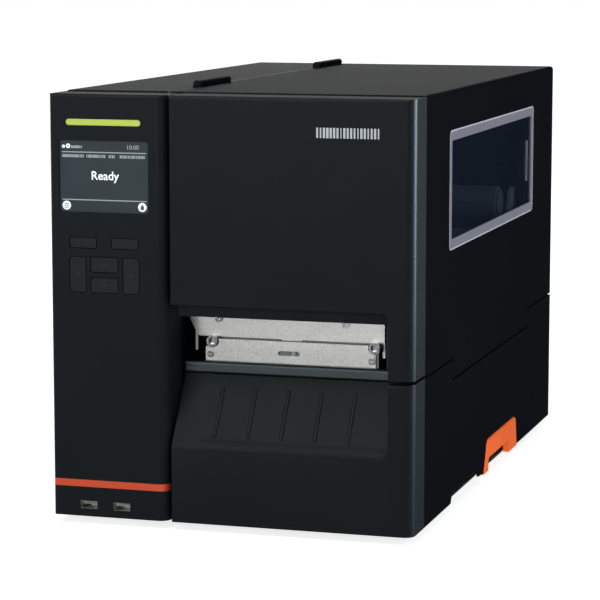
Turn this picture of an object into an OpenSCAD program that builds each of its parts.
// Table-top label printer with a folding side door.
// X runs to the right, Y to the back and Z up, from the middle of the footprint on the table.

/* [Body] */
// Width over the covers
body_w = 276; // [240:1:340]
// Depth from the front plastics to the rear edge of the covers
body_d = 502; // [440:1:620]
// Height from the underside of the pan to the top sheet
body_h = 315; // [290:1:380]
// Height of the rubber feet
foot_h = 6; // [4:0.5:12]
// Radius of the rubber feet
foot_r = 9; // [7:0.5:14]
// Thickness of the outer sheet metal
sheet_t = 1.5; // [1:0.1:2]
// Outer bend radius of the sheet metal
bend_r = 3; // [2.5:0.1:5]
// Width of the seams between the sheets
seam_gap = 1.5; // [1:0.1:2]
// Thickness of the wall between the electronics and the media bay
wall_t = 2; // [1.5:0.1:3]
// Distance from the left side to the door hinge line
hinge_in = 81; // [76:0.5:84]

/* [Front plastics] */
// Depth of the plastic front pieces
front_depth = 34; // [30:0.5:40]
// Wall thickness of the plastics
front_wall = 2.5; // [2:0.1:3]
// Plan radius of the upright corners
corner_r = 8; // [5:0.5:12]
// Radius of the top front edge
top_r = 3; // [2:0.5:4]
// Width of the control tower
tower_w = 90; // [86:0.5:93]
// Gap between the tower and the door front
tower_gap = 3; // [2:0.5:4]
// Width of the column to the right of the label outlet
column_w = 18.8; // [15:0.1:24]
// Height of the lower front cover
lower_front_h = 110.9; // [105:0.1:118]
// Gap between the lower and upper front covers
front_gap = 2.4; // [1.5:0.1:4]
// Height of the label outlet
outlet_h = 51; // [45:0.5:56]
// Height of the foot of the ramp above the pan
ramp_low = 55; // [45:0.5:65]
// Height of the head of the ramp above the pan
ramp_high = 106; // [100:0.5:107]
// Spacing of the ribs on the ramp
rib_pitch = 25.3; // [20:0.1:28]
// Width of a rib on the ramp
rib_w = 1.8; // [1.2:0.1:3]
// Height of the orange band
band_h = 5.5; // [4:0.5:8]
// Height of the orange band's lower edge above the pan
band_z = 22.2; // [20:0.1:26]

/* [Screen and keys] */
// Width of the screen opening
screen_w = 69.5; // [60:0.5:72]
// Height of the screen opening
screen_h = 52.5; // [44:0.5:54]
// Distance from the top of the tower to the screen opening
screen_drop = 34; // [32:0.5:38]
// Length of the status light
light_w = 58.1; // [40:0.1:66]
// Height of the status light
light_h = 4.7; // [3:0.1:6]
// Width of a function key
fkey_w = 20.4; // [16:0.1:22]
// Height of a function key
fkey_h = 7.3; // [6:0.1:8]
// Width of the left and right arrow keys
side_key_w = 12.2; // [10:0.1:13]
// Width of the up and down arrow keys
mid_key_w = 20.7; // [16:0.1:22]
// Height of the arrow key cluster
cluster_h = 25.9; // [24:0.1:28]
// Clear distance round a key
key_gap = 0.6; // [0.3:0.05:0.8]
// Radius of the outer corners of the arrow key cluster
cluster_r = 3; // [1.5:0.5:4]
// Travel of a key
key_travel = 0.8; // [0.5:0.1:1]

/* [Print mechanism] */
// Radius of the platen roller
platen_r = 8.5; // [7:0.5:10]
// Radius of the platen shaft's journals
journal_r = 3; // [2.5:0.5:4]
// Teeth of the platen gear
platen_teeth = 40; // [36:1:44]
// Teeth of the motor pinion
pinion_teeth = 18; // [16:1:20]
// Gear module
gear_module = 1; // [0.9:0.05:1.05]
// Radius of the print-head pivot shaft
pivot_r = 4; // [3:0.5:5]
// Height of the upper print-head plate
bracket_h = 33; // [28:0.5:36]
// Height of the lower print-head plate
head_plate_h = 17.6; // [15:0.1:19]

/* [Ribbon and media] */
// Radius of the ribbon spindles
ribbon_r = 14; // [12:0.1:15]
// Radius of the spindle shafts
shaft_r = 4; // [3:0.5:5]
// Radius of the media spindle
media_r = 12; // [10:0.1:12.5]
// Teeth of the ribbon rewind gear
rewind_teeth = 48; // [44:1:52]
// Teeth of the ribbon rewind pinion
rewind_pinion_teeth = 16; // [16:1:20]

/* [Door] */
// Height of the fold line above the pan, at the ends
fold_z = 111; // [108:0.5:114]
// Step down of the fold line in the middle of the door
fold_step = 15.5; // [14:0.5:18]
// Length of a knuckle hinge
hinge_len = 74; // [60:1:90]
// Radius of the hinge knuckles
knuckle_r = 3; // [2.5:0.1:3.2]
// Gap between neighbouring knuckles
knuckle_gap = 0.9; // [0.3:0.1:1.5]
// Radius of the hinge pins
pin_r = 1.5; // [1:0.1:1.6]
// Length of the window opening
window_l = 310; // [240:1:320]
// Height of the window opening
window_h = 90; // [70:1:100]
// Width of the window border
border_w = 8; // [6:0.5:12]
// Length of the orange door handle
handle_l = 129; // [110:1:140]
// Height of the orange door handle
handle_h = 26; // [22:0.5:30]

/* [Hidden] */
$fn = 48;
run = 0.04;       // radial running clearance of a shaft
gap = 0.3;        // clearance between separate pieces
eps = 0.01;
screw_r = 1.5;
flange_w = 13;    // width of the flanges behind the rear panel

left_x = -body_w / 2;
right_x = body_w / 2;
front_y = -body_d / 2;
back_y = body_d / 2;
pan_z = foot_h;
top_z = foot_h + body_h;
plastic_y = front_y + front_depth;      // seam between plastics and sheet
front_top = top_z - 1;                  // top of the plastics
inner_left = left_x + sheet_t;
inner_right = right_x - sheet_t;
under_top = top_z - sheet_t;

tower_x = [left_x, left_x + tower_w];
tower_mid = left_x + 42;
main_x = [tower_x[1] + tower_gap, right_x];
outlet_r = right_x - column_w;          // right side of the label outlet
lower_top = pan_z + lower_front_h;
upper_low = lower_top + front_gap;
outlet_top = lower_top + outlet_h;
ramp_z = [pan_z + ramp_low, pan_z + ramp_high];
ramp_slope = (ramp_z[1] - ramp_z[0]) / front_depth;

hinge_x = left_x + hinge_in;
hinge_z = top_z + 2;
leaf_t = 1.5;
wall_x = [hinge_x - 1 - wall_t, hinge_x - 1];
rear_panel_y = [back_y - 3, back_y - 3 + sheet_t];

screen_x = [tower_mid - screen_w / 2, tower_mid + screen_w / 2];
screen_z = [front_top - screen_drop - screen_h, front_top - screen_drop];
light_z = front_top - 20.5;
fkey_z = front_top - 108.9;
cluster_z = [front_top - 145.4, front_top - 145.4 + cluster_h];
cluster_w = 53.8;
fkey_x = [tower_mid - 16.4, tower_mid + 16.1];
keyboard_y = front_y + 12;
key_lip = 0.6;    // reach of a key's flange behind the bezel
usb_x = [tower_mid - 14.3, tower_mid + 11.7];
usb_z = pan_z + 8.65;
usb_w = 13.2;
usb_h = 5.8;

// print mechanism
bracket_x = [outlet_r - 11.2, outlet_r - 9.2];
roller_x = [main_x[0] + 5, bracket_x[0] - 6];
bar_back = plastic_y + 4.5;    // rear of the tear bar
platen_y = bar_back + 1 + platen_r;
platen_z = pan_z + ramp_high - 2;
nip_z = platen_z + platen_r;
platen_mesh = gear_module * (platen_teeth + pinion_teeth) / 2;
platen_angle = -20;
motor_y = platen_y + platen_mesh * cos(platen_angle);
motor_z = platen_z + platen_mesh * sin(platen_angle);
gear_x = [wall_x[1] + 1, wall_x[1] + 6];
motor_size = 42.3;
motor_len = 48;
pivot_y = platen_y + 93;
pivot_z = nip_z + 31.5;
arm_x = [[main_x[0] + 3.5, main_x[0] + 5.5], [bracket_x[0] - 5, bracket_x[0] - 3]];
bracket_z = [nip_z + 20.3, nip_z + 20.3 + bracket_h];
bracket_y = [platen_y - 3, platen_y - 1.5];
head_y = [platen_y - 8, platen_y - 6.5];
head_z = [nip_z + 1.7, nip_z + 1.7 + head_plate_h];
head_x = [roller_x[0] + 8.7, roller_x[1] - 2.6];
head_mid = (head_x[0] + head_x[1]) / 2;
knob_y = platen_y + 38;
knob_x = [head_mid - 42, head_mid + 42];
knob_z = bracket_z[1] + 13;
lever_y = platen_y + 53;
lever_z = pivot_z + 15;
lever_x = [bracket_x[1] + 2, bracket_x[1] + 7];
path_z = nip_z - 2;
guide_x = bracket_x[0] - 25;
guide_y = platen_y + 172;

// spindles
supply_y = front_y + 323;
supply_z = pan_z + 210;
rewind_y = front_y + 176;
rewind_z = pan_z + 222;
supply_x = [wall_x[1] + 1, inner_right - 8.5];
rewind_x = [wall_x[1] + 1, outlet_r - 1.2];
rewind_mesh = gear_module * (rewind_teeth + rewind_pinion_teeth) / 2;
rewind_gear_x = [wall_x[0] - 10, wall_x[0] - 4];
media_y = back_y - 101;
media_z = pan_z + 106;
guide_plate_z = supply_z - ribbon_r - 6;

// door
fold_high = pan_z + fold_z;
fold_low = fold_high - fold_step;
fold_y = [front_y + 122.5, back_y - 102];
fold_axis_x = right_x - 5.5;
fold_axis_z = fold_low + 7.5;
swing_r = norm([right_x - fold_axis_x, fold_high - fold_axis_z]);       // of its upper edge
swing_gap = 1.5;
swing_x = fold_axis_x - (fold_high - fold_axis_z) - swing_gap;         // clear of the open fold
media_x = [wall_x[1], swing_x];
guard_x = [media_x[1] - 4.5, media_x[1] - 1.5];
hinge_y = [[plastic_y + 63, plastic_y + 63 + hinge_len], [back_y - 11 - hinge_len, back_y - 11]];
window_y = [back_y - 85 - window_l, back_y - 85];
window_z = [top_z - 30 - window_h, top_z - 30];
handle_y = [front_y + 233, front_y + 233 + handle_l];
handle_z = [pan_z - 1, pan_z - 1 + handle_h];
arch_y = [handle_y[0] + 18, handle_y[1] - 32];
arch_z = pan_z + 9.5;

// ---- Shapes used by many pieces ----

// Block between two values on each axis
module block(x, y, z) {
    translate([x[0], y[0], z[0]]) cube([x[1] - x[0], y[1] - y[0], z[1] - z[0]]);
}

// Rod along X
module rod_x(x, y, z, r) {
    translate([x[0], y, z]) rotate([0, 90, 0]) cylinder(h = x[1] - x[0], r = r);
}

// Rod along Y
module rod_y(x, y, z, r) {
    translate([x, y[0], z]) rotate([-90, 0, 0]) cylinder(h = y[1] - y[0], r = r);
}

// 2-D shape drawn in X and Z, extruded between two Y values
module xz(y) {
    translate([0, y[1], 0]) rotate([90, 0, 0]) linear_extrude(y[1] - y[0]) children();
}

// 2-D shape drawn in Y and Z, extruded between two X values
module yz(x) {
    translate([x[0], 0, 0]) rotate([90, 0, 90]) linear_extrude(x[1] - x[0]) children();
}

// Rounded rectangle between two corners
module rounded(a, b, r) {
    translate([a[0] + r, a[1]]) square([b[0] - a[0] - 2 * r, b[1] - a[1]]);
    translate([a[0], a[1] + r]) square([b[0] - a[0], b[1] - a[1] - 2 * r]);
    for (x = [a[0] + r, b[0] - r], y = [a[1] + r, b[1] - r])
        translate([x, y]) circle(r);
}

// Level slot with round ends between two corners
module obround(a, b) {
    r = (b[1] - a[1]) / 2;
    translate([a[0] + r, a[1]]) square([b[0] - a[0] - 2 * r, 2 * r]);
    for (x = [a[0] + r, b[0] - r]) translate([x, a[1] + r]) circle(r);
}

// Upright slot with round ends, centred on x
module upright_slot(x, z, w) {
    translate([x - w / 2, z[0] + w / 2]) square([w, z[1] - z[0] - w]);
    for (c = [z[0] + w / 2, z[1] - w / 2]) translate([x, c]) circle(w / 2);
}

// Plan of a plastic front piece with its two upright front corners rounded
module front_plan(x, left_r, right_r, inset) {
    a = x[0] + inset;
    b = x[1] - inset;
    f = front_y + inset;
    back = plastic_y + (inset > 0 ? 1 : 0);
    ql = max(left_r - inset, 0.5);
    qr = max(right_r - inset, 0.5);
    q = max(ql, qr);
    translate([a, f + q]) square([b - a, back - f - q]);
    translate([a + ql, f]) square([b - a - ql - qr, q + 1]);
    translate([a + ql, f + ql]) circle(ql);
    translate([b - qr, f + qr]) circle(qr);
    translate([a, f + ql]) square([ql, q - ql + 1]);
    translate([b - qr, f + qr]) square([qr, q - qr + 1]);
}

// Solid plastic front piece; with an inset it is the hollow inside it
module front_block(x, z, left_r, right_r, inset = 0) {
    f = front_y + inset;
    back = plastic_y + (inset > 0 ? 1 : 0);
    low = z[0] + inset;
    top = z[1] - inset;
    q = max(top_r - inset, 0.5);
    intersection() {
        translate([0, 0, low]) linear_extrude(top - low) front_plan(x, left_r, right_r, inset);
        yz([x[0] - 1, x[1] + 1]) {
            translate([f, low - 1]) square([back - f, top - low + 1 - q]);
            translate([f + q, low - 1]) square([back - f - q, top - low + 1]);
            translate([f + q, top - q]) circle(q);
        }
    }
}

// Cover sheet with a rounded top edge: top from xa, side at xb, along Y
module bent_sheet(xa, xb, y, low) {
    s = sign(xb - xa);
    c = xb - s * bend_r;
    zc = top_z - bend_r;
    xz(y) {
        translate([min(xa, c), under_top]) square([abs(c - xa), sheet_t]);
        translate([s > 0 ? xb - sheet_t : xb, low]) square([sheet_t, zc - low]);
        intersection() {
            translate([c, zc]) difference() {
                circle(bend_r);
                circle(bend_r - sheet_t);
            }
            translate([min(c, xb), zc]) square(bend_r);
        }
    }
}

// Radius of a tooth flank point, and half the tooth's angle there, for an involute gear
function inv(a) = tan(a) * 180 / PI - a;
function flank_angle(r, rb) = r <= rb ? 0 : inv(acos(rb / r));
function half_tooth(teeth, r, rb) =
    90 / teeth * (1 - 0.1 / gear_module) + inv(20) - flank_angle(r, rb);
function gear_points(teeth) = let (
        rp = gear_module * teeth / 2,
        rb = rp * cos(20),
        rr = rp - 1.2 * gear_module,
        ra = rp + 0.9 * gear_module,
        radii = [rr, max(rb, (2 * rr + rp) / 3), rp, ra]
    ) [for (i = [0:teeth - 1])
        let (c = i * 360 / teeth)
        for (k = [0:7])
            let (
                r = radii[k < 4 ? k : 7 - k],
                a = c + (k < 4 ? -1 : 1) * half_tooth(teeth, r, rb)
            ) [r * cos(a), r * sin(a)]
    ];

// Spur gear along X; a tooth points at the angle turn, from +Y towards +Z
module gear(x, y, z, teeth, turn) {
    translate([x[0], y, z]) rotate([90, 0, 90]) rotate([0, 0, turn])
        linear_extrude(x[1] - x[0]) polygon(gear_points(teeth));
}

// Ball bearing ring along X
module bearing(x, y, z, outer, inner) {
    difference() {
        rod_x(x, y, z, outer);
        rod_x([x[0] - 1, x[1] + 1], y, z, inner);
    }
}

// ---- Chassis ----

module base_pan() {
    x = [inner_left, inner_right - 3.5];
    y = [plastic_y, rear_panel_y[0]];
    color("#2b2e31") difference() {
        union() {
            block(x, y, [pan_z, pan_z + sheet_t]);
            block(x, [y[0], y[0] + sheet_t], [pan_z, pan_z + 54]);
            block([x[0], x[0] + sheet_t], y, [pan_z, pan_z + 14]);
            block([x[1] - sheet_t, x[1]], [y[0], fold_y[0] - 8], [pan_z, pan_z + 16]);
            block([x[1] - sheet_t, x[1]], [handle_y[1] + 8, y[1]], [pan_z, pan_z + 16]);
            block([x[0] + flange_w + 2, x[1]], [y[1] - sheet_t, y[1]], [pan_z, pan_z + 18]);
        }
        for (p = screw_places()) rod_y(p[0], [y[1] - 3, y[1] + 1], p[1], screw_r);
    }
}

module rubber_feet() {
    color("#161616")
    for (x = [left_x + 26, right_x - 26], y = [front_y + 56, back_y - 51])
        translate([x, y, 0]) {
            cylinder(h = foot_h, r1 = foot_r - 1, r2 = foot_r);
        }
}

module center_wall() {
    y = [plastic_y + 2, rear_panel_y[0]];
    floor_z = pan_z + sheet_t;
    top = under_top - leaf_t;
    color("#303438") difference() {
        union() {
            block(wall_x, y, [floor_z, top]);
            block([wall_x[0] - 17, wall_x[1]], y, [top - wall_t, top]);
            block([wall_x[1] - eps, wall_x[1] + 14], [y[0] + 60, y[1]], [floor_z, floor_z + wall_t]);
            block([wall_x[0] - flange_w + 2, wall_x[1]], [y[1] - wall_t, y[1]], [pan_z + 60, top]);
        }
        for (p = screw_places()) rod_y(p[0], [y[1] - 3, y[1] + 1], p[1], screw_r);
        block([wall_x[0] - 1, wall_x[1] + 20], [y[1] - sheet_t, y[1] + 1], [floor_z - 1, pan_z + 18]);
        rod_x([wall_x[0] - 1, wall_x[1] + 1], platen_y, platen_z, 5);
        rod_x([wall_x[0] - 1, wall_x[1] + 1], motor_y, motor_z, 11);
        rod_x([wall_x[0] - 1, wall_x[1] + 1], supply_y, supply_z, 2 * shaft_r);
        rod_x([wall_x[0] - 1, wall_x[1] + 1], rewind_y, rewind_z, 2 * shaft_r);
        rod_x([wall_x[0] - 1, wall_x[1] + 1], pivot_y, pivot_z, pivot_r);
    }
}

inlet_x = left_x + 32;
inlet_z = pan_z + 42;
switch_x = inlet_x + 31;
port_x = [left_x + 24, left_x + 41, left_x + 58];
port_z = pan_z + 120;
fan_slot = [[main_x[0] + 12, outlet_r - 22], [pan_z + 30, pan_z + 40]];

module rear_panel() {
    color("#26292c") difference() {
        block([inner_left + 0.7, inner_right - 1], rear_panel_y, [pan_z + sheet_t, under_top - 0.7]);
        block([swing_x, right_x], [rear_panel_y[0] - 1, back_y],
              [fold_axis_z - swing_gap, fold_axis_z + swing_r + swing_gap]);
        xz([rear_panel_y[0] - 1, rear_panel_y[1] + 1]) {
            translate([inlet_x - 14, inlet_z - 10]) square([28, 20]);
            translate([switch_x - 10, inlet_z - 10]) square([20, 20]);
            for (x = port_x) translate([x - 8, port_z - 7]) square([16, 14]);
            rounded([fan_slot[0][0], fan_slot[1][0]], [fan_slot[0][1], fan_slot[1][1]], 2);
            for (i = [0:6], j = [0:2])
                obround([left_x + 20 + 18 * j, top_z - 90 + 9 * i],
                        [left_x + 34 + 18 * j, top_z - 87 + 9 * i]);
            for (p = screw_places()) translate(p) circle(screw_r);
        }
    }
}

// Places of the rear screws: into the cover's flange, the pan's and the wall's
function screw_places() = concat(
    [for (z = [pan_z + 20, pan_z + 90, top_z - 110, top_z - 12]) [left_x + 8, z]],
    [for (x = [hinge_x - 10, 0, right_x - 14]) [x, pan_z + 12]],
    [for (z = [pan_z + 90, top_z - 12]) [hinge_x - 8, z]]
);

module cover_screws() {
    y = rear_panel_y[1];
    color("#3a3d40") for (p = screw_places()) difference() {
        union() {
            rod_y(p[0], [y - 5, y + eps], p[1], screw_r);
            rod_y(p[0], [y, y + 1.3], p[1], 2 * screw_r);
        }
        translate([p[0], y + 0.7, p[1]]) for (a = [0, 90]) rotate([0, a, 0])
            cube([3.2, 1.6, 0.7], center = true);
    }
}

module left_cover() {
    flange_y = [rear_panel_y[0] - sheet_t, rear_panel_y[0]];
    color("#1d2023") difference() {
        union() {
            bent_sheet(hinge_x - seam_gap / 2, left_x, [plastic_y, back_y], pan_z);
            block([left_x + eps, inner_left + flange_w], flange_y, [pan_z + 16, under_top - 3]);
        }
        for (p = screw_places()) rod_y(p[0], [flange_y[0] - 1, flange_y[1] + 1], p[1], screw_r);
        for (h = hinge_y)
            block([hinge_x - 5, hinge_x], [h[0] - 1, h[1] + 1], [under_top - 1, top_z + 1]);
        yz([left_x - 1, inner_left + 1]) for (i = [0:13], j = [0:3])
            upright_slot(back_y - 60 - 9 * i, [pan_z + 30 + 34 * j, pan_z + 54 + 34 * j], 3);
    }
}

// ---- Control tower ----

module control_bezel() {
    z = [pan_z, front_top];
    color("#22272a") difference() {
        front_block(tower_x, z, 2.5, corner_r);
        front_block(tower_x, z, 2.5, corner_r, front_wall);
        xz([front_y - 1, front_y + front_wall + 1]) {
            rounded([screen_x[0], screen_z[0]], [screen_x[1], screen_z[1]], 2.5);
            obround([tower_mid - light_w / 2, light_z - light_h / 2],
                    [tower_mid + light_w / 2, light_z + light_h / 2]);
            for (x = fkey_x) key_outline(x, fkey_z, fkey_w, fkey_h, key_gap);
            for (s = [-1, 1]) side_key_outline(s, key_gap);
            for (s = [-1, 1]) key_outline(tower_mid, mid_key_z(s), mid_key_w, mid_key_h(), key_gap);
            for (x = usb_x) rounded([x - usb_w / 2 - 0.2, usb_z - usb_h / 2 - 0.3],
                                    [x + usb_w / 2 + 0.2, usb_z + usb_h / 2 + 0.3], 0.8);
        }
        band_ring(0);
    }
}

// Ring of the accent band round the tower's front
module band_ring(clear) {
    z = [pan_z + band_z + clear, pan_z + band_z + band_h - clear];
    difference() {
        front_block(tower_x, [pan_z + 1, front_top - 1], 2.5, corner_r);
        translate([0, 0, pan_z]) linear_extrude(body_h) front_plan(tower_x, 2.5, corner_r, 1.2);
        block([left_x - 1, tower_x[1] + 1], [front_y - 1, plastic_y + 1], [pan_z - 1, z[0]]);
        block([left_x - 1, tower_x[1] + 1], [front_y - 1, plastic_y + 1], [z[1], top_z + 1]);
    }
}

module accent_band() {
    color("#c84b28") band_ring(0.05);
}

module status_light() {
    color("#c8dc3c") {
        xz([front_y + 0.3, front_y + front_wall])
            obround([tower_mid - light_w / 2 + 0.1, light_z - light_h / 2 + 0.1],
                    [tower_mid + light_w / 2 - 0.1, light_z + light_h / 2 - 0.1]);
        xz([front_y + front_wall, front_y + front_wall + 4])
            rounded([tower_mid - light_w / 2 - 2, light_z - light_h / 2 - 2],
                    [tower_mid + light_w / 2 + 2, light_z + light_h / 2 + 2], 1.5);
    }
}

module display_lens() {
    y = front_y + front_wall;
    color("#2e3538") xz([y, y + 1.6])
        rounded([screen_x[0] - 3, screen_z[0] - 3], [screen_x[1] + 3, screen_z[1] + 3], 2);
}

module display_module() {
    y = front_y + front_wall + 1.6;
    color("#4a5054") {
        block([screen_x[0] - 2, screen_x[1] + 2], [y, y + 6], [screen_z[0] - 2, screen_z[1] + 2]);
        block([tower_mid - 12, tower_mid + 12], [y + 6, y + 7], [screen_z[0], screen_z[0] + 16]);
    }
}

// Places and sizes of the arrow keys
function side_key_x(side) = tower_mid + side * (cluster_w - side_key_w) / 2;
function cluster_mid() = (cluster_z[0] + cluster_z[1]) / 2;
function mid_key_h() = (cluster_h - 4.6) / 2;
function mid_key_z(side) = cluster_mid() + side * (mid_key_h() + 4.6) / 2;

module key_outline(x, z, w, h, grow) {
    rounded([x - w / 2 - grow, z - h / 2 - grow], [x + w / 2 + grow, z + h / 2 + grow], 0.8 + grow);
}

// Left (-1) or right (1) arrow key: the corners away from the middle are rounder
module side_key_outline(side, grow) {
    x = side_key_x(side);
    w = side_key_w / 2 + grow;
    z = [cluster_z[0] - grow, cluster_z[1] + grow];
    rounded([x - w, z[0]], [x + w, z[1]], cluster_r + grow);
    intersection() {
        rounded([x - w, z[0]], [x + w, z[1]], 0.8 + grow);
        translate([side < 0 ? x - 1 : x - w, z[0]]) square([w + 1, z[1] - z[0]]);
    }
}

// One key, drawn over its cap's outline: cap, retaining flange and plunger
module key(x, z) {
    back = front_y + front_wall + gap;
    color("#24292c") {
        xz([front_y + 0.15, back + eps]) children(0);
        xz([back, back + 1.5]) children(1);
        rod_y(x, [back + 1, keyboard_y - 3.2 - key_travel - 0.2], z, 2);
    }
}

module box_key(x, z, w, h) {
    key(x, z) {
        key_outline(x, z, w, h, 0);
        key_outline(x, z, w, h, key_gap + key_lip);
    }
}

module side_key(side) {
    key(side_key_x(side), cluster_mid()) {
        side_key_outline(side, 0);
        side_key_outline(side, key_gap + key_lip);
    }
}

module function_key_left() { box_key(fkey_x[0], fkey_z, fkey_w, fkey_h); }
module function_key_right() { box_key(fkey_x[1], fkey_z, fkey_w, fkey_h); }
module arrow_key_left() { side_key(-1); }
module arrow_key_right() { side_key(1); }
module arrow_key_up() { box_key(tower_mid, mid_key_z(1), mid_key_w, mid_key_h()); }
module arrow_key_down() { box_key(tower_mid, mid_key_z(-1), mid_key_w, mid_key_h()); }

// Keyboard with one tactile switch behind each key
module control_board() {
    switches = concat(
        [for (x = fkey_x) [x, fkey_z]],
        [for (s = [-1, 1]) [side_key_x(s), cluster_mid()]],
        [for (s = [-1, 1]) [tower_mid, mid_key_z(s)]]
    );
    color("#1f5a3a") {
        block([tower_mid - 36, tower_mid + 36], [keyboard_y, keyboard_y + 1.6],
              [cluster_z[0] - 6, fkey_z + 12]);
        for (p = switches) {
            block([p[0] - 3, p[0] + 3], [keyboard_y - 2.4, keyboard_y + eps], [p[1] - 3, p[1] + 3]);
            rod_y(p[0], [keyboard_y - 3.2, keyboard_y - 2.4 + eps], p[1], 1.7);
        }
        for (x = [tower_mid - 32, tower_mid + 32], z = [cluster_z[0] - 2, fkey_z + 7])
            rod_y(x, [front_y + front_wall, keyboard_y + eps], z, 2.5);
    }
}

module usb_sockets() {
    color("#c8c8c4") for (x = usb_x) {
        y = front_y + 0.8;
        difference() {
            block([x - usb_w / 2, x + usb_w / 2], [y, y + 15], [usb_z - usb_h / 2, usb_z + usb_h / 2]);
            block([x - usb_w / 2 + 0.4, x + usb_w / 2 - 0.4], [y - 1, y + 13],
                  [usb_z - usb_h / 2 + 0.4, usb_z + usb_h / 2 - 0.4]);
        }
        block([x - usb_w / 2 + 1, x + usb_w / 2 - 1], [y + 2, y + 13 + eps], [usb_z + 0.2, usb_z + 2]);
        block([x - usb_w / 2 + 2, x + usb_w / 2 - 2], [y + 5, y + 14],
              [pan_z + front_wall, usb_z - usb_h / 2 + eps]);
    }
}

// ---- Lower front ----

// Side profile of the space above the ramp, moved down by drop
module ramp_space(drop) {
    polygon([
        [front_y - 4, ramp_z[0] - 4 * ramp_slope - drop],
        [plastic_y + 2, ramp_z[1] + 2 * ramp_slope - drop],
        [plastic_y + 2, lower_top + 5],
        [front_y - 4, lower_top + 5]
    ]);
}

// Upright bar with round ends that follows the ramp, from below its surface to above it
module ramp_rib(x, z, w, below, above) {
    intersection() {
        difference() {
            yz([x - w, x + w]) ramp_space(below);
            yz([x - w - 1, x + w + 1]) ramp_space(-above);
        }
        xz([front_y - 5, plastic_y + 5]) upright_slot(x, z, w);
    }
}

module lower_front_cover() {
    z = [pan_z, lower_top];
    wall_drop = 1.8 * front_wall;
    groove = 0.6;
    ribs_x = (main_x[0] + outlet_r) / 2;
    rib_z = [ramp_z[0] + 9.8, ramp_z[1] - 8.7];
    color("#1b1f22") {
        difference() {
            front_block(main_x, z, 0.5, corner_r);
            difference() {
                front_block(main_x, z, 0.5, corner_r, front_wall);
                yz([main_x[0] - 1, outlet_r + front_wall]) ramp_space(wall_drop);
            }
            intersection() {
                yz([main_x[0] - 1, outlet_r]) ramp_space(0);
                xz([front_y - 5, plastic_y + 5])
                    rounded([main_x[0] - 20, ramp_z[0]], [outlet_r, lower_top + 20], corner_r);
            }
            for (i = [-2:2]) ramp_rib(ribs_x + i * rib_pitch, [rib_z[0] - groove, rib_z[1] + groove],
                                      rib_w + 2 * groove, 0.8, 0.5);
        }
        for (i = [-2:2]) ramp_rib(ribs_x + i * rib_pitch, rib_z, rib_w, 0.9, 0.9);
    }
}

// ---- Print mechanism ----

module tear_bar() {
    y = [plastic_y - 1, bar_back];
    z = [ramp_z[1] + gap, nip_z + 3.2];
    x = [main_x[0], outlet_r - 2];
    color("#5a6266") difference() {
        yz(x) {
            rounded([y[0], z[0]], [y[1], z[1]], 2.2);
            translate([y[1] - 1.5, ramp_z[1] - 4]) square([1.5, 8]);
        }
        yz([x[0] - 1, x[1] + 1]) polygon([
            [y[1] - 1.2, z[1] + 0.1], [y[1] + 1, z[1] + 0.1], [y[1] + 1, z[1] - 4]
        ]);
    }
}

module platen_bracket() {
    y = [bar_back, pivot_y + 12];
    z = [pan_z + sheet_t, pivot_z + 24];
    color("#3c4144") difference() {
        union() {
            yz(bracket_x) rounded([y[0], z[0]], [y[1], z[1]], 4);
            block([bracket_x[0] - 14, bracket_x[1]], [y[0] + 4, y[1] - 4], [z[0], z[0] + 2]);
            rod_x([bracket_x[0] - 1, bracket_x[1]], pivot_y, pivot_z, pivot_r + 3);
        }
        rod_x([bracket_x[0] - 2, bracket_x[1] + 1], platen_y, platen_z, 5);
        rod_x([bracket_x[0] - 2, bracket_x[1] + 1], pivot_y, pivot_z, pivot_r);
        rod_x([bracket_x[0] - 2, bracket_x[1] + 1], lever_y, lever_z, pivot_r + run);
    }
}

module shaft_bearings() {
    color("#b8bcc0") {
        bearing([wall_x[0] - 1.5, wall_x[1] - 0.5], platen_y, platen_z, 5, journal_r + run);
        bearing([bracket_x[0] - 0.5, bracket_x[1] + 0.5], platen_y, platen_z, 5, journal_r + run);
        for (p = [[supply_y, supply_z], [rewind_y, rewind_z]])
            bearing([wall_x[0] - 2.5, wall_x[1] + 0.5], p[0], p[1], 2 * shaft_r, shaft_r + run);
    }
}

module stepper_motor() {
    x = [wall_x[0] - motor_len, wall_x[0]];
    h = motor_size / 2;
    color("#3a3c3e") difference() {
        union() {
            yz([x[0], x[0] + 9]) chamfered(motor_y, motor_z, h);
            yz([x[0] + 9, x[1] - 9]) chamfered(motor_y, motor_z, h - 0.8);
            yz([x[1] - 9, x[1]]) chamfered(motor_y, motor_z, h);
            rod_x([x[1] - eps, wall_x[1]], motor_y, motor_z, 11);
        }
        rod_x([x[1] - 20, wall_x[1] + 1], motor_y, motor_z, 2.5 + run);
    }
}

// Square with cut corners, as on a stepper motor
module chamfered(y, z, h) {
    c = 4;
    polygon([
        [y - h + c, z - h], [y + h - c, z - h], [y + h, z - h + c], [y + h, z + h - c],
        [y + h - c, z + h], [y - h + c, z + h], [y - h, z + h - c], [y - h, z - h + c]
    ]);
}

module motor_pinion() {
    color("#d8d2c0") {
        gear([gear_x[0], gear_x[1] + 1], motor_y, motor_z, pinion_teeth,
             platen_angle + 180 + 180 / pinion_teeth);
        rod_x([wall_x[0] - 19, gear_x[1] + 2], motor_y, motor_z, 2.5);
    }
}

module platen_shaft() {
    color("#c4c8cc") {
        rod_x(roller_x, platen_y, platen_z, 4);
        rod_x([wall_x[0] - 3, roller_x[0] + eps], platen_y, platen_z, journal_r);
        rod_x([roller_x[1] - eps, bracket_x[1] + 3], platen_y, platen_z, journal_r);
    }
}

module platen_roller() {
    color("#2a2a2c") difference() {
        rod_x(roller_x, platen_y, platen_z, platen_r);
        rod_x([roller_x[0] - 1, roller_x[1] + 1], platen_y, platen_z, 4);
    }
}

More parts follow.
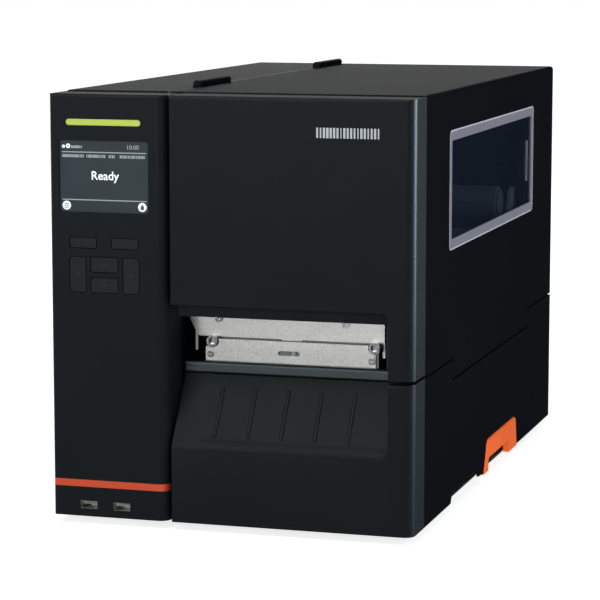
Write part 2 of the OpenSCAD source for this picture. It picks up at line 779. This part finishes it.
module platen_gear() {
    color("#e4e0d4") difference() {
        union() {
            gear(gear_x, platen_y, platen_z, platen_teeth, platen_angle);
            rod_x([gear_x[0] + 1, gear_x[1] + 3], platen_y, platen_z, 7);
        }
        rod_x([gear_x[0] - 1, gear_x[1] + 4], platen_y, platen_z, journal_r);
    }
}

module head_pivot_shaft() {
    color("#c4c8cc") rod_x([wall_x[0], bracket_x[1]], pivot_y, pivot_z, pivot_r);
}

// Side arm of the print head: from the front plate back to the pivot
module head_arm(x) {
    difference() {
        union() {
            yz(x) polygon([
                [bracket_y[0] + 1, bracket_z[0] - 11], [bracket_y[0] + 6, bracket_z[0] - 11],
                [bracket_y[0] + 12, bracket_z[0] - 4], [pivot_y, pivot_z - 8],
                [pivot_y, pivot_z + 8], [pivot_y - 16, bracket_z[1]],
                [bracket_y[0] + 1, bracket_z[1]]
            ]);
            rod_x(x, pivot_y, pivot_z, 8);
        }
        rod_x([x[0] - 1, x[1] + 1], pivot_y, pivot_z, pivot_r + run);
    }
}

// Screw places of the print head, X and Z
socket_screws = [[head_x[0] + 5.2, head_z[1] - 1.7], [head_x[1] - 0.9, head_z[1] - 1.7]];
small_screws = [[head_x[0] + 3.8, head_z[0] + 6.1], [head_x[1] - 2.9, head_z[0] + 6.1]];
top_screws = [[head_x[0] + 8.5, bracket_z[0] + 13.5], [head_x[1] - 24, bracket_z[0] + 13.5]];

module head_bracket() {
    right = arm_x[1][1];
    color("#d0d0cc") difference() {
        union() {
            xz(bracket_y) polygon([
                [arm_x[0][0] + 2.5, bracket_z[0]], [right, bracket_z[0]], [right, bracket_z[1]],
                [main_x[0] - 3.5, bracket_z[1]], [main_x[0] - 3.5, bracket_z[0] + 18]
            ]);
            block([arm_x[0][0], right], [bracket_y[0], pivot_y - 16], [bracket_z[1] - 1.5, bracket_z[1]]);
            block([head_mid - 8, head_mid + 8], bracket_y, [bracket_z[0] - 1.2, bracket_z[0] + eps]);
            for (x = arm_x) head_arm(x);
        }
        for (p = top_screws) rod_y(p[0], [bracket_y[0] - 1, bracket_y[1] + 1], p[1], screw_r);
        for (x = knob_x) translate([x, knob_y, bracket_z[1] - 3]) cylinder(h = 4, r = 3);
    }
}

module head_plate() {
    color("#c9c9c4") difference() {
        xz(head_y) difference() {
            rounded([head_x[0], head_z[0]], [head_x[1], head_z[1]], 1);
            for (p = socket_screws) translate(p) circle(5);
            translate([head_x[0] - 1, head_z[1] - 6]) square([7, 8]);
            translate([head_x[1] - 2.5, head_z[1] - 6]) square([7, 8]);
            obround([head_mid - 9, head_z[0] + 7], [head_mid + 7.6, head_z[0] + 10.6]);
            for (p = small_screws) translate(p) circle(screw_r);
        }
    }
}

module thermal_head() {
    y = [head_y[1], platen_y + 22];
    z = [nip_z + 0.5, bracket_z[0] - 1.5];
    x = [head_x[0] + 0.5, head_x[1] + 2];
    fins_y = bracket_y[1] + 1;
    color("#8e9498") difference() {
        union() {
            block(x, [y[0], platen_y + 9], [z[0], z[1]]);
            block(x, [platen_y + 9 - eps, y[1]], [z[0] + 7, z[1]]);
            for (i = [0:7]) block(x, [fins_y + 2.8 * i, fins_y + 2.8 * i + 1.2], [z[1] - eps, z[1] + 6]);
            for (post = [head_x[0] + 15.4, head_x[1] - 15.4])
                block([post - 4, post + 4], [bracket_y[1], y[1] - 3], [z[1] - eps, bracket_z[1] - 1.5]);
        }
        for (p = small_screws) rod_y(p[0], [y[0] - 1, y[0] + 6], p[1], screw_r);
        for (p = socket_screws) {
            rod_y(p[0], [y[0] - 1, bracket_y[0]], p[1], 5);
            rod_y(p[0], [bracket_y[0] - 1, bracket_y[0] + 8], p[1], 2);
        }
    }
}

module head_screws() {
    color("#dcdcd8") {
        for (p = small_screws) pan_screw(p, head_y[0], 2.6, 7);
        for (p = top_screws) pan_screw(p, bracket_y[0], 2.8, 3);
        for (p = socket_screws) difference() {
            union() {
                rod_y(p[0], [head_y[0] - 1.5, bracket_y[0]], p[1], 4.3);
                rod_y(p[0], [bracket_y[0] - eps, bracket_y[0] + 8], p[1], 2);
            }
            rod_y(p[0], [head_y[0] - 2, head_y[0] + 1.5], p[1], 2.4);
        }
        rod_y(head_mid + 3, [head_y[0] + 0.2, head_y[1]], head_z[0] + 8.8, 1.5);
    }
}

// Pan head screw facing the front, head seated at y
module pan_screw(p, y, r, length) {
    difference() {
        union() {
            rod_y(p[0], [y - 1.2, y], p[1], r);
            rod_y(p[0], [y - eps, y + length], p[1], screw_r);
        }
        translate([p[0], y - 1.2, p[1]]) for (a = [0, 90]) rotate([0, a, 0])
            cube([r * 1.2, 1.2, 0.6], center = true);
    }
}

module pressure_knobs() {
    color("#d8552c") for (x = knob_x) translate([x, knob_y, 0]) {
        difference() {
            translate([0, 0, knob_z]) cylinder(h = 14, r = 9);
            translate([0, 0, knob_z - 1]) cylinder(h = 10, r = 7.4);
            for (a = [0:30:330]) rotate([0, 0, a]) translate([10, 0, knob_z - 1])
                cylinder(h = 16, r = 1.6);
        }
        translate([0, 0, bracket_z[1] - 2]) cylinder(h = knob_z + 9.5 - bracket_z[1], r = 3);
    }
}

// Points of a coil spring, and the tube swept along them
spring_turns = 5;
spring_steps = 14;
spring_sides = 6;
module coil_spring(r, wire, height) {
    n = spring_turns * spring_steps;
    rings = [for (i = [0:n]) let (a = i * 360 / spring_steps, z = wire + (height - 2 * wire) * i / n)
        for (k = [0:spring_sides - 1]) let (b = k * 360 / spring_sides)
            [(r + wire * cos(b)) * cos(a), (r + wire * cos(b)) * sin(a), z + wire * sin(b)]];
    sides = [for (i = [0:n - 1], k = [0:spring_sides - 1]) let (
            p = i * spring_sides + k,
            q = i * spring_sides + (k + 1) % spring_sides
        ) [p, q, q + spring_sides, p + spring_sides]];
    first = [[for (k = [0:spring_sides - 1]) spring_sides - 1 - k]];
    last = [[for (k = [0:spring_sides - 1]) n * spring_sides + k]];
    polyhedron(points = rings, faces = concat(sides, first, last));
}

module pressure_springs() {
    color("#b0b4b8") for (x = knob_x)
        translate([x, knob_y, bracket_z[1]]) coil_spring(5.2, 0.7, knob_z + 9 - bracket_z[1]);
}

module release_lever() {
    color("#d8552c") {
        yz(lever_x) difference() {
            union() {
                translate([lever_y, lever_z]) circle(8);
                translate([lever_y - 38, lever_z - 4]) square([38, 8]);
                translate([lever_y - 38, lever_z]) circle(5);
            }
            translate([lever_y - 20, lever_z]) circle(2);
        }
        rod_x([bracket_x[0] - 2, lever_x[0] + eps], lever_y, lever_z, pivot_r);
    }
}

// ---- Ribbon and media ----

// Grooved ribbon spindle on its shaft, with a flange by the wall
module ribbon_spindle(x, y, z, shaft_end) {
    difference() {
        rod_x(x, y, z, ribbon_r);
        for (a = [0:60:300])
            translate([x[0] + 4, y, z]) rotate([a, 0, 0]) translate([0, ribbon_r - 1.2, -1.5])
                cube([x[1] - x[0] - 10, 3, 3]);
    }
    rod_x([x[0], x[0] + 3], y, z, ribbon_r + 6);
    rod_x([x[1] - eps, x[1] + 2], y, z, ribbon_r - 3);
    rod_x([shaft_end, x[0] + eps], y, z, shaft_r);
}

module ribbon_supply_spindle() {
    color("#2c3034") ribbon_spindle(supply_x, supply_y, supply_z, wall_x[0] - 4);
}

module ribbon_rewind_spindle() {
    color("#2c3034") ribbon_spindle(rewind_x, rewind_y, rewind_z, rewind_gear_x[0] - 3);
}

module rewind_gear() {
    color("#e4e0d4") difference() {
        gear(rewind_gear_x, rewind_y, rewind_z, rewind_teeth, -90);
        rod_x([rewind_gear_x[0] - 1, rewind_gear_x[1] + 1], rewind_y, rewind_z, shaft_r);
    }
}

module rewind_pinion() {
    color("#d8d2c0") {
        gear(rewind_gear_x, rewind_y, rewind_z - rewind_mesh, rewind_pinion_teeth,
             90 + 180 / rewind_pinion_teeth);
        rod_x([rewind_gear_x[0] - 20, rewind_gear_x[1] + 1], rewind_y, rewind_z - rewind_mesh, 3);
    }
}

module rewind_motor() {
    y = rewind_y;
    z = rewind_z - rewind_mesh;
    x = [rewind_gear_x[0] - 5, rewind_gear_x[0] - 3.5];
    color("#4a4e52") difference() {
        union() {
            rod_x([x[0] - 46, x[0] + eps], y, z, 18);
            yz(x) rounded([y - 30, z - 34], [y + 30, z + 4], 3);
            for (p = [[-25, -8], [25, -8], [0, -29]])
                rod_x([x[1] - eps, wall_x[0]], y + p[0], z + p[1], 3.5);
        }
        rod_x([rewind_gear_x[0] - 21, x[1] + 1], y, z, 3 + run);
    }
}

module ribbon_guide_plate() {
    y = [rewind_y + 5, supply_y - 32];
    z = guide_plate_z;
    color("#b8b8b4") {
        block([wall_x[1], supply_x[1] - 6], y, [z, z + 1.5]);
        block([wall_x[1], wall_x[1] + 1.5], y, [z - 12, z + eps]);
        yz([wall_x[1] + 20, supply_x[1] - 6]) polygon([
            [y[0], z], [y[0], z + 1.5], [y[0] - 8, z - 6.5], [y[0] - 8, z - 8]
        ]);
    }
}

module media_path_plate() {
    front = platen_y + platen_r + 2.5;
    back = media_y - 60;
    color("#a8acae") difference() {
        union() {
            block([roller_x[0], bracket_x[0]], [front, back], [path_z - 1.2, path_z]);
            block([wall_x[1], roller_x[0] + eps], [front + 50, back], [path_z - 1.2, path_z]);
            block([wall_x[1], bracket_x[0]], [back - 1.2, back], [path_z - 9, path_z - 1.2 + eps]);
        }
        translate([0, 0, path_z - 2]) linear_extrude(3)
            obround([guide_x - 103, guide_y - 2.3], [guide_x + 18, guide_y + 2.3]);
    }
}

// Media guide: slides on a stem in the plate's slot, held by a nut below
module media_guide() {
    x = guide_x - 7;
    y = [guide_y - 22, guide_y + 22];
    color("#3b8f4a") {
        block([x, x + 14], y, [path_z + gap, path_z + 3]);
        block([x, x + 3], y, [path_z + 3 - eps, path_z + 16]);
        translate([guide_x, guide_y, path_z - 4]) cylinder(h = 4 + gap + eps, r = 2);
        translate([guide_x, guide_y, path_z - 4]) cylinder(h = 2.4, r = 4.5, $fn = 6);
    }
}

module media_spindle() {
    color("#2c3034") {
        difference() {
            rod_x(media_x, media_y, media_z, media_r);
            block([media_x[0] + 6, media_x[1] + 1], [media_y - 20, media_y + 20],
                  [media_z + media_r - 1.5, media_z + 20]);
        }
        rod_x([media_x[0], media_x[0] + 4], media_y, media_z, media_r + 10);
    }
}

// Roll guard: a tall plate that slides along the media spindle
module media_guard() {
    top = [media_y + 15, media_z + 96];
    color("#555b60") difference() {
        union() {
            yz(guard_x) {
                translate([media_y, media_z]) circle(40);
                polygon([
                    [media_y - 34, media_z + 20], [media_y + 34, media_z + 20],
                    [top[0] + 13, top[1]], [top[0] - 13, top[1]]
                ]);
                translate(top) circle(13);
            }
            rod_x([guard_x[0] - 11, guard_x[1]], media_y, media_z, media_r + 5);
        }
        rod_x([guard_x[0] - 12, guard_x[1] + 1], media_y, media_z, media_r + gap);
    }
}

// ---- Electronics ----

module main_board() {
    x = wall_x[0] - 14;
    y = [front_y + 270, back_y - 30];
    z = [pan_z + 104, pan_z + 284];
    color("#1f5a3a") {
        block([x, x + 1.6], y, z);
        for (py = [y[0] + 8, y[1] - 8], pz = [z[0] + 8, z[1] - 8])
            rod_x([x + 1.6, wall_x[0]], py, pz, 3);
        block([x - 12, x], [y[0] + 40, y[0] + 75], [z[1] - 70, z[1] - 35]);
        for (i = [0:3]) rod_x([x - 20, x], y[0] + 100 + 20 * i, z[0] + 30, 8);
        for (i = [0:2]) block([x - 9, x], [y[0] + 12, y[0] + 30], [z[0] + 20 + 30 * i, z[0] + 42 + 30 * i]);
    }
}

module power_supply() {
    x = [left_x + 12, wall_x[0] - 4];
    y = [back_y - 200, back_y - 50];
    z = [pan_z + sheet_t, pan_z + 66];
    color("#8b8f92") difference() {
        block(x, y, z);
        block([x[0] + 1.2, x[1] - 1.2], [y[0] + 1.2, y[1] - 1.2], [z[0] + 3, z[1] - 1.2]);
        for (i = [0:9], j = [0:2])
            block([x[0] + 8 + 18 * j, x[0] + 20 + 18 * j], [y[0] + 12 + 13 * i, y[0] + 16 + 13 * i],
                  [z[1] - 2, z[1] + 1]);
    }
}

// Power entry: a three-pin inlet beside the frame of the rocker switch
module power_inlet() {
    y = rear_panel_y;
    color("#1a1a1c") {
        difference() {
            union() {
                block([inlet_x - 14, inlet_x + 14], [y[0] - 18, y[1] + eps], [inlet_z - 10, inlet_z + 10]);
                block([inlet_x - 17, inlet_x + 17], [y[1], y[1] + 1.4], [inlet_z - 13, inlet_z + 13]);
            }
            block([inlet_x - 12, inlet_x + 12], [y[0] - 16, y[1] + 2], [inlet_z - 8, inlet_z + 8]);
        }
        for (p = [[-7, -2], [0, 2], [7, -2]])
            block([inlet_x + p[0] - 1, inlet_x + p[0] + 1], [y[0] - 17, y[0] - 5],
                  [inlet_z + p[1] - 2, inlet_z + p[1] + 2]);
        difference() {
            union() {
                block([switch_x - 10, switch_x + 10], [y[0] - 12, y[1] + eps], [inlet_z - 10, inlet_z + 10]);
                block([switch_x - 13, switch_x + 13], [y[1], y[1] + 1.4], [inlet_z - 13, inlet_z + 13]);
            }
            block([switch_x - 7, switch_x + 7], [y[0] - 10, y[1] + 2], [inlet_z - 9, inlet_z + 9]);
        }
        for (s = [-1, 1]) rod_x([switch_x + s * 6.3 - 0.8, switch_x + s * 6.3 + 0.8], y[0] - 4, inlet_z, 1.5);
    }
}

module power_switch() {
    y = rear_panel_y[0] - 4;
    color("#202022") translate([switch_x, y, inlet_z]) rotate([-8, 0, 0]) difference() {
        yz([-5.9, 5.9]) polygon([
            [-4, -6], [-4, 6], [1, 8], [4.5, 7.6], [3, 0], [4.5, -7.6], [1, -8]
        ]);
        rod_x([-6, -5.3], 0, 0, 1.5 + run);
        rod_x([5.3, 6], 0, 0, 1.5 + run);
    }
}

module interface_ports() {
    y = rear_panel_y;
    color("#9a9ea2") {
        difference() {
            block([port_x[0] - 8, port_x[0] + 8], [y[0] - 16, y[1]], [port_z - 7, port_z + 7]);
            block([port_x[0] - 6, port_x[0] + 6], [y[0] - 13, y[1] + 1], [port_z - 5.5, port_z + 4]);
        }
        difference() {
            block([port_x[1] - 6, port_x[1] + 6], [y[0] - 16, y[1]], [port_z - 5.5, port_z + 5.5]);
            block([port_x[1] - 4.4, port_x[1] + 4.4], [y[0] - 10, y[1] + 1], [port_z - 4, port_z + 4]);
        }
        block([port_x[1] - 2.8, port_x[1] + 2.8], [y[0] - 10 - eps, y[1] - 1], [port_z - 1.6, port_z + 1.6]);
        difference() {
            block([port_x[2] - 8, port_x[2] + 8], [y[0] - 10, y[1]], [port_z - 6, port_z + 6]);
            block([port_x[2] - 7, port_x[2] + 7], [y[0] - 5, y[1] + 1], [port_z - 4, port_z + 4]);
        }
        for (i = [-2:2]) rod_y(port_x[2] + 2.4 * i, [y[0] - 5 - eps, y[0] - 1], port_z + 1.4, 0.5);
        for (i = [-1.5:1.5]) rod_y(port_x[2] + 2.4 * i, [y[0] - 5 - eps, y[0] - 1], port_z - 1.4, 0.5);
    }
}

// ---- Door ----

// Knuckles of one hinge: odd ones fixed, even ones moving
module knuckles(h, moving) {
    pitch = (h[1] - h[0] + knuckle_gap) / 5;
    for (i = moving ? [1, 3] : [0, 2, 4]) {
        y = [h[0] + i * pitch, h[0] + (i + 1) * pitch - knuckle_gap];
        difference() {
            union() {
                rod_y(hinge_x, y, hinge_z, knuckle_r);
                if (moving) block([hinge_x + 1, hinge_x + knuckle_r], y, [under_top - leaf_t, hinge_z]);
                else block([hinge_x - knuckle_r, hinge_x - 1], y, [under_top - leaf_t, hinge_z]);
            }
            rod_y(hinge_x, [y[0] - 1, y[1] + 1], hinge_z, pin_r + (moving ? run : 0));
        }
    }
}

module hinge_leaves_fixed() {
    color("#1a1c1e") for (h = hinge_y) {
        knuckles(h, false);
        block([hinge_x - 20, hinge_x - 1], h, [under_top - leaf_t, under_top]);
        rod_y(hinge_x, h, hinge_z, pin_r);
    }
}

module hinge_leaves_moving() {
    color("#1a1c1e") for (h = hinge_y) {
        knuckles(h, true);
        block([hinge_x + 1, hinge_x + 20], h, [under_top - leaf_t, under_top]);
    }
}

// Outline of the upper door's side, in Y and Z
module upper_side_outline() {
    g = seam_gap / 2;
    polygon([
        [plastic_y, top_z], [plastic_y, fold_high + g], [fold_y[0] + g, fold_high + g],
        [fold_y[0] + g, fold_low + g], [fold_y[1] - g, fold_low + g],
        [fold_y[1] - g, fold_high + g], [back_y, fold_high + g], [back_y, top_z]
    ]);
}

module upper_door_panel() {
    color("#1d2023") difference() {
        intersection() {
            bent_sheet(hinge_x + seam_gap / 2, right_x, [plastic_y, back_y], fold_low);
            union() {
                yz([right_x - bend_r - 1, right_x + 1]) upper_side_outline();
                block([hinge_x, right_x - bend_r - 1], [plastic_y, back_y], [under_top - 1, top_z + 1]);
            }
        }
        for (h = hinge_y)
            block([hinge_x, hinge_x + 5], [h[0] - 1, h[1] + 1], [under_top - 1, top_z + 1]);
        yz([inner_right - 1, right_x + 1])
            rounded([window_y[0] - 0.1, window_z[0] - 0.1], [window_y[1] + 0.1, window_z[1] + 0.1], 5);
    }
}

// Front outline of the upper front cover; inset gives the hollow
module upper_outline(inset) {
    translate([main_x[0] + inset, outlet_top + inset])
        square([main_x[1] - main_x[0] - 2 * inset, front_top - outlet_top - 2 * inset]);
    translate([outlet_r + inset, upper_low + inset])
        square([right_x - outlet_r - 2 * inset, front_top - upper_low - 2 * inset]);
    if (inset == 0) difference() {
        translate([outlet_r - 5, outlet_top - 5]) square(6);
        translate([outlet_r - 5, outlet_top - 5]) circle(5);
    }
}

module upper_front_cover() {
    z = [upper_low, front_top];
    lip_y = [front_y + 10, front_y + 10 + front_wall];
    color("#22272a") {
        difference() {
            intersection() {
                front_block(main_x, z, 0.5, corner_r);
                xz([front_y - 1, plastic_y + 1]) upper_outline(0);
            }
            intersection() {
                front_block(main_x, z, 0.5, corner_r, front_wall);
                xz([front_y - 1, plastic_y + 2]) upper_outline(front_wall);
            }
        }
        block([main_x[0] + 3, outlet_r + 1], lip_y, [outlet_top - 9.5, outlet_top + 1]);
    }
}

module window_frame() {
    x = [right_x - 3.2, right_x - 0.2];
    color("#c9ccd6") difference() {
        union() {
            yz(x) rounded([window_y[0], window_z[0]], [window_y[1], window_z[1]], 5);
            yz([x[0], inner_right]) rounded([window_y[0] - 4, window_z[0] - 4],
                                            [window_y[1] + 4, window_z[1] + 4], 5);
        }
        yz([x[0] - 1, x[1] + 1])
            rounded([window_y[0] + border_w, window_z[0] + border_w],
                    [window_y[1] - border_w, window_z[1] - border_w], 2);
        yz([x[0] - 1, x[0] + 2])
            rounded([window_y[0] + border_w - 3, window_z[0] + border_w - 3],
                    [window_y[1] - border_w + 3, window_z[1] - border_w + 3], 3);
    }
}

module window_pane() {
    x = [right_x - 3, right_x - 1.2];
    rib_y = window_y[1] - border_w - 14.5;
    rib_z = (window_z[0] + window_z[1]) / 2;
    color([0.6, 0.65, 0.75, 0.4]) {
        yz(x) rounded([window_y[0] + border_w - 3, window_z[0] + border_w - 3],
                      [window_y[1] - border_w + 3, window_z[1] - border_w + 3], 3);
        yz([x[1] - eps, x[1] + 0.9])
            upright_slot(rib_y, [rib_z - 0.14 * window_h, rib_z + 0.14 * window_h], 2.2);
    }
}

// Tab of a fold pivot in the XZ plane, from the sheet to the fold axis
module pivot_tab(y, bore) {
    difference() {
        union() {
            rod_y(fold_axis_x, y, fold_axis_z, 4.5);
            block([fold_axis_x, inner_right + eps], y, [fold_axis_z - 4.5, fold_axis_z + 4.5]);
        }
        rod_y(fold_axis_x, [y[0] - 1, y[1] + 1], fold_axis_z, bore);
    }
}

// Places of the upper tabs; the lower tabs lie just outside them
function upper_tab_y(i) = i == 0 ? [fold_y[0] + 0.8, fold_y[0] + 2.3] : [fold_y[1] - 2.3, fold_y[1] - 0.8];
function lower_tab_y(i) = i == 0 ? [fold_y[0] - 2.3, fold_y[0] - 0.8] : [fold_y[1] + 0.8, fold_y[1] + 2.3];

module fold_pivots() {
    color("#8a8e92") for (i = [0, 1]) {
        s = i == 0 ? -1 : 1;
        y = i == 0 ? fold_y[0] : fold_y[1];
        difference() {
            pivot_tab(upper_tab_y(i), 2);
            block([inner_right, right_x], [y - 5, y + 5], [fold_low, fold_high]);
        }
        rod_y(fold_axis_x, [y - 3, y + 3], fold_axis_z, 2);
        rod_y(fold_axis_x, s < 0 ? [y - 4, y - 3 + eps] : [y + 3 - eps, y + 4], fold_axis_z, 3);
    }
}

// Outline of the lower door's side, in Y and Z
module lower_side_outline() {
    g = seam_gap / 2;
    polygon([
        [plastic_y + 0.75, pan_z], [fold_y[0] - 4, pan_z], [fold_y[0] + 1, pan_z + 8],
        [handle_y[0] - 20, pan_z + 8], [handle_y[0] - 19, pan_z + 1.5], [handle_y[0] - 1, pan_z + 0.5],
        [handle_y[0] - 1, pan_z], [back_y, pan_z], [back_y, fold_high - g],
        [fold_y[1] + g, fold_high - g], [fold_y[1] + g, fold_low - g],
        [fold_y[0] - g, fold_low - g], [fold_y[0] - g, fold_high - g],
        [plastic_y + 0.75, fold_high - g]
    ]);
}

// Outer outline of the handle; grow makes the cut-out round it
module handle_outline(grow) {
    r = 7;
    low = handle_z[0] - (grow > 0 ? 3 : 0);
    bend = handle_z[1] - r;
    lean = [9 / (handle_h - r), 4 / (handle_h - r)];
    a = [for (z = [low, bend]) handle_y[0] - 1.1 * grow + lean[0] * (z - handle_z[0])];
    b = [for (z = [low, bend]) handle_y[1] + 1.1 * grow - lean[1] * (z - handle_z[0])];
    c = [handle_y[0] + 9 + r, handle_y[1] - 4 - r];
    polygon([
        [a[0], low], [b[0], low], [b[1], bend], [c[1], bend], [c[1], handle_z[1] + grow],
        [c[0], handle_z[1] + grow], [c[0], bend], [a[1], bend]
    ]);
    for (y = c) translate([y, bend]) circle(r + grow);
}

module lower_door_panel() {
    color("#1d2023") {
        difference() {
            yz([inner_right, right_x]) lower_side_outline();
            yz([inner_right - 1, right_x + 1]) handle_outline(1);
        }
        for (i = [0, 1]) pivot_tab(lower_tab_y(i), 2 + run);
    }
}

module door_handle() {
    color("#f0703c") difference() {
        union() {
            yz([right_x - 5, right_x]) handle_outline(0);
            yz([right_x - 3.2, inner_right])
                intersection() {
                    handle_outline(5);
                    translate([handle_y[0] - 10, handle_z[0] + 3]) square([handle_l + 20, 60]);
                }
        }
        yz([right_x - 6, right_x + 1]) {
            translate([arch_y[0] + 4, handle_z[0] - 5])
                square([arch_y[1] - arch_y[0] - 8, arch_z - handle_z[0] + 5]);
            translate([arch_y[0], handle_z[0] - 5])
                square([arch_y[1] - arch_y[0], arch_z - handle_z[0] + 1]);
            for (y = [arch_y[0] + 4, arch_y[1] - 4]) translate([y, arch_z - 4]) circle(4);
        }
        translate([right_x, 0, handle_z[1]]) rotate([0, 45, 0])
            cube([1.6, body_d, 1.6], center = true);
    }
}

base_pan();
rubber_feet();
center_wall();
rear_panel();
left_cover();
control_bezel();
accent_band();
status_light();
display_module();
display_lens();
control_board();
usb_sockets();
lower_front_cover();
tear_bar();
platen_bracket();
shaft_bearings();
stepper_motor();
head_pivot_shaft();
media_path_plate();
media_spindle();
ribbon_guide_plate();
rewind_motor();
main_board();
power_supply();
power_inlet();
interface_ports();
hinge_leaves_fixed();
cover_screws();
platen_roller();
platen_shaft();
platen_gear();
motor_pinion();
head_bracket();
head_plate();
thermal_head();
head_screws();
pressure_knobs();
pressure_springs();
release_lever();
ribbon_supply_spindle();
ribbon_rewind_spindle();
rewind_gear();
rewind_pinion();
media_guard();
media_guide();
function_key_left();
function_key_right();
arrow_key_left();
arrow_key_right();
arrow_key_up();
arrow_key_down();
power_switch();
upper_door_panel();
upper_front_cover();
window_frame();
window_pane();
hinge_leaves_moving();
fold_pivots();
lower_door_panel();
door_handle();
